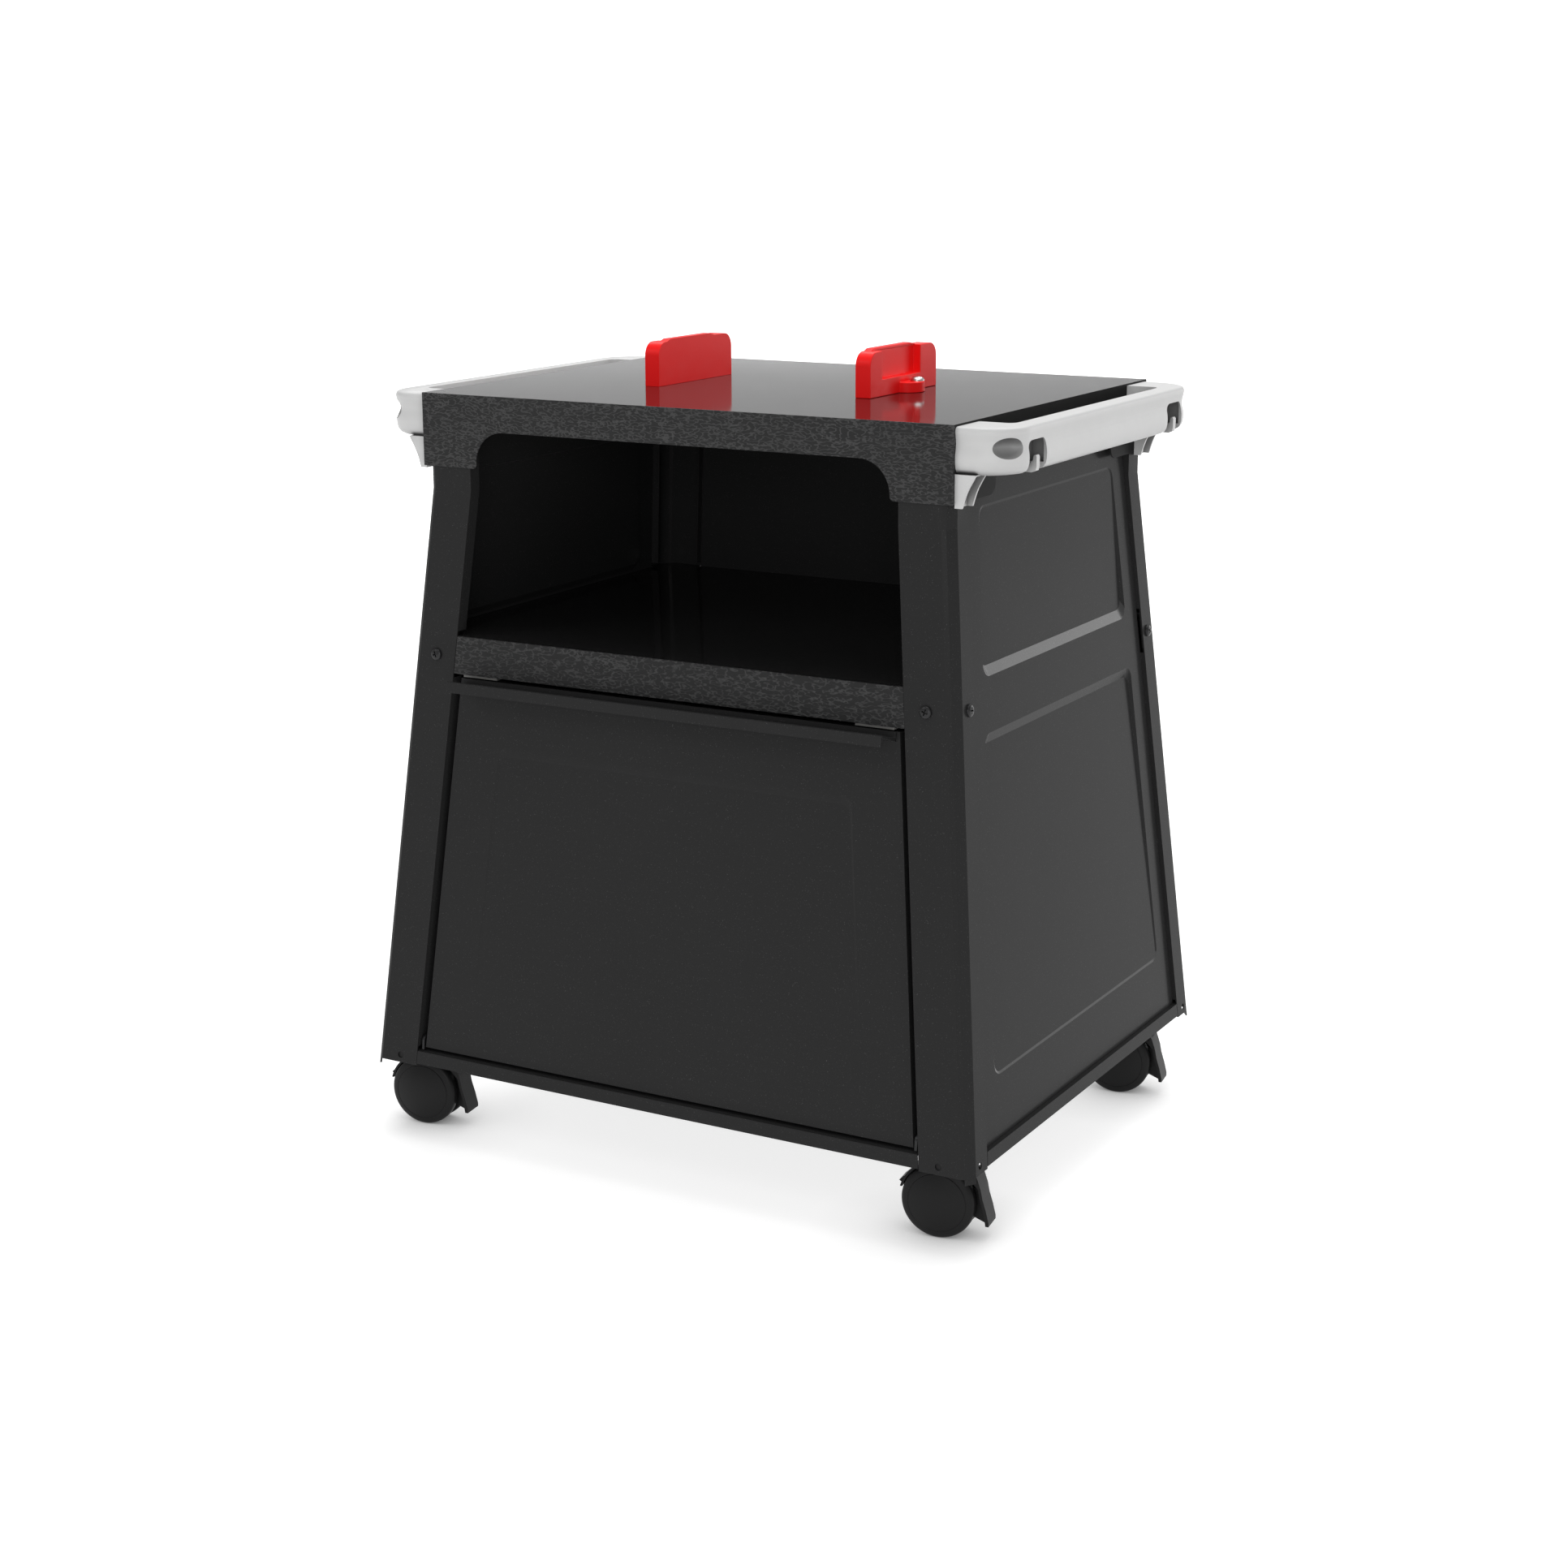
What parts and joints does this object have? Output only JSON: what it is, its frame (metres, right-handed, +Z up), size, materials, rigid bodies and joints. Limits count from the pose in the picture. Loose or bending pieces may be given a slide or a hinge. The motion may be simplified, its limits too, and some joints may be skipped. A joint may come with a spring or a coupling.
{
  "type": "grill cart with storage",
  "caption": "Wheeled sheet-metal cart for a tabletop grill: splayed legs, open upper compartment, lower one behind a drop-down door, moulded side handles with tool hooks and lock brackets.",
  "frame": {"origin": "on the floor, at the middle of the cart's width and depth", "axes": "+Z up, +X to the right seen from the front, +Y to the back; the door is in the -Y side"},
  "size_m": [0.7253, 0.5746, 0.8404],
  "materials": {
    "smooth_sheet": "smooth semi-gloss charcoal enamel",
    "textured_sheet": "fine hammered charcoal powder coat",
    "handle_plastic": "light warm grey moulded plastic, satin",
    "red_plastic": "satin red moulded plastic",
    "bright_steel": "bright zinc plate",
    "black_steel": "black oxide",
    "catch_plastic": "light grey plastic with a magnet inside",
    "caster_plastic": "dark grey moulded nylon"
  },
  "bodies": {
    "cart": {"back_panel": "smooth_sheet", "bottom_tray": "smooth_sheet", "caster_sockets": "caster_plastic", "caster_stems": "bright_steel", "door_hinge_brackets": "black_steel", "door_hinge_pins": "bright_steel", "front_fascia": "textured_sheet", "front_left_leg": "smooth_sheet", "front_right_leg": "smooth_sheet", "handle_screws": "black_steel", "left_door_catch": "catch_plastic", "left_handle": "handle_plastic", "left_lock_bracket": "red_plastic", "left_side_panel": "smooth_sheet", "leg_screws": "black_steel", "lock_bracket_screws": "bright_steel", "middle_shelf": "smooth_sheet", "rear_fascia": "textured_sheet", "rear_left_leg": "smooth_sheet", "rear_right_leg": "smooth_sheet", "right_door_catch": "catch_plastic", "right_handle": "handle_plastic", "right_lock_bracket": "red_plastic", "right_side_panel": "smooth_sheet", "shelf_front_rail": "textured_sheet", "top_panel": "smooth_sheet"},
    "door_leaf": {"door": "smooth_sheet", "door_pull": "smooth_sheet"},
    "front_left_caster_swivel_body": {"front_left_caster_hood": "caster_plastic", "front_left_caster_axle": "bright_steel"},
    "front_left_caster_front_wheel_body": {"front_left_caster_front_wheel": "caster_plastic"},
    "front_left_caster_rear_wheel_body": {"front_left_caster_rear_wheel": "caster_plastic"},
    "front_left_caster_brake_body": {"front_left_caster_brake": "caster_plastic"},
    "rear_left_caster_swivel_body": {"rear_left_caster_hood": "caster_plastic", "rear_left_caster_axle": "bright_steel"},
    "rear_left_caster_front_wheel_body": {"rear_left_caster_front_wheel": "caster_plastic"},
    "rear_left_caster_rear_wheel_body": {"rear_left_caster_rear_wheel": "caster_plastic"},
    "rear_left_caster_brake_body": {"rear_left_caster_brake": "caster_plastic"},
    "front_right_caster_swivel_body": {"front_right_caster_hood": "caster_plastic", "front_right_caster_axle": "bright_steel"},
    "front_right_caster_front_wheel_body": {"front_right_caster_front_wheel": "caster_plastic"},
    "front_right_caster_rear_wheel_body": {"front_right_caster_rear_wheel": "caster_plastic"},
    "front_right_caster_brake_body": {"front_right_caster_brake": "caster_plastic"},
    "rear_right_caster_swivel_body": {"rear_right_caster_hood": "caster_plastic", "rear_right_caster_axle": "bright_steel"},
    "rear_right_caster_front_wheel_body": {"rear_right_caster_front_wheel": "caster_plastic"},
    "rear_right_caster_rear_wheel_body": {"rear_right_caster_rear_wheel": "caster_plastic"},
    "rear_right_caster_brake_body": {"rear_right_caster_brake": "caster_plastic"}
  },
  "joints": [
    {"name": "door_hinge", "type": "hinge", "parent": "cart", "child": "door_leaf", "pos_m": [0, -0.27397, 0.11045], "axis": [1, 0, 0], "range_deg": [0, 90]},
    {"name": "front_left_caster_swivel", "type": "hinge", "parent": "cart", "child": "front_left_caster_swivel_body", "pos_m": [-0.311, -0.226, 0.08], "axis": [0, 0, 1], "continuous": true},
    {"name": "front_left_caster_front_wheel_spin", "type": "hinge", "parent": "front_left_caster_swivel_body", "child": "front_left_caster_front_wheel_body", "pos_m": [-0.32536, -0.22802, 0.0375], "axis": [-0.1392, 0.9903, 0], "continuous": true},
    {"name": "front_left_caster_rear_wheel_spin", "type": "hinge", "parent": "front_left_caster_swivel_body", "child": "front_left_caster_rear_wheel_body", "pos_m": [-0.32536, -0.22802, 0.0375], "axis": [-0.1392, 0.9903, 0], "continuous": true},
    {"name": "front_left_caster_brake_lever", "type": "hinge", "parent": "front_left_caster_swivel_body", "child": "front_left_caster_brake_body", "pos_m": [-0.29198, -0.22333, 0.06578], "axis": [-0.1392, 0.9903, 0], "range_deg": [0, 6]},
    {"name": "rear_left_caster_swivel", "type": "hinge", "parent": "cart", "child": "rear_left_caster_swivel_body", "pos_m": [-0.311, 0.226, 0.08], "axis": [0, 0, 1], "continuous": true},
    {"name": "rear_left_caster_front_wheel_spin", "type": "hinge", "parent": "rear_left_caster_swivel_body", "child": "rear_left_caster_front_wheel_body", "pos_m": [-0.32536, 0.22398, 0.0375], "axis": [-0.1392, 0.9903, 0], "continuous": true},
    {"name": "rear_left_caster_rear_wheel_spin", "type": "hinge", "parent": "rear_left_caster_swivel_body", "child": "rear_left_caster_rear_wheel_body", "pos_m": [-0.32536, 0.22398, 0.0375], "axis": [-0.1392, 0.9903, 0], "continuous": true},
    {"name": "rear_left_caster_brake_lever", "type": "hinge", "parent": "rear_left_caster_swivel_body", "child": "rear_left_caster_brake_body", "pos_m": [-0.29198, 0.22867, 0.06578], "axis": [-0.1392, 0.9903, 0], "range_deg": [0, 6]},
    {"name": "front_right_caster_swivel", "type": "hinge", "parent": "cart", "child": "front_right_caster_swivel_body", "pos_m": [0.311, -0.226, 0.08], "axis": [0, 0, 1], "continuous": true},
    {"name": "front_right_caster_front_wheel_spin", "type": "hinge", "parent": "front_right_caster_swivel_body", "child": "front_right_caster_front_wheel_body", "pos_m": [0.29664, -0.22802, 0.0375], "axis": [-0.1392, 0.9903, 0], "continuous": true},
    {"name": "front_right_caster_rear_wheel_spin", "type": "hinge", "parent": "front_right_caster_swivel_body", "child": "front_right_caster_rear_wheel_body", "pos_m": [0.29664, -0.22802, 0.0375], "axis": [-0.1392, 0.9903, 0], "continuous": true},
    {"name": "front_right_caster_brake_lever", "type": "hinge", "parent": "front_right_caster_swivel_body", "child": "front_right_caster_brake_body", "pos_m": [0.33002, -0.22333, 0.06578], "axis": [-0.1392, 0.9903, 0], "range_deg": [0, 6]},
    {"name": "rear_right_caster_swivel", "type": "hinge", "parent": "cart", "child": "rear_right_caster_swivel_body", "pos_m": [0.311, 0.226, 0.08], "axis": [0, 0, 1], "continuous": true},
    {"name": "rear_right_caster_front_wheel_spin", "type": "hinge", "parent": "rear_right_caster_swivel_body", "child": "rear_right_caster_front_wheel_body", "pos_m": [0.29664, 0.22398, 0.0375], "axis": [-0.1392, 0.9903, 0], "continuous": true},
    {"name": "rear_right_caster_rear_wheel_spin", "type": "hinge", "parent": "rear_right_caster_swivel_body", "child": "rear_right_caster_rear_wheel_body", "pos_m": [0.29664, 0.22398, 0.0375], "axis": [-0.1392, 0.9903, 0], "continuous": true},
    {"name": "rear_right_caster_brake_lever", "type": "hinge", "parent": "rear_right_caster_swivel_body", "child": "rear_right_caster_brake_body", "pos_m": [0.33002, 0.22867, 0.06578], "axis": [-0.1392, 0.9903, 0], "range_deg": [0, 6]}
  ]
}
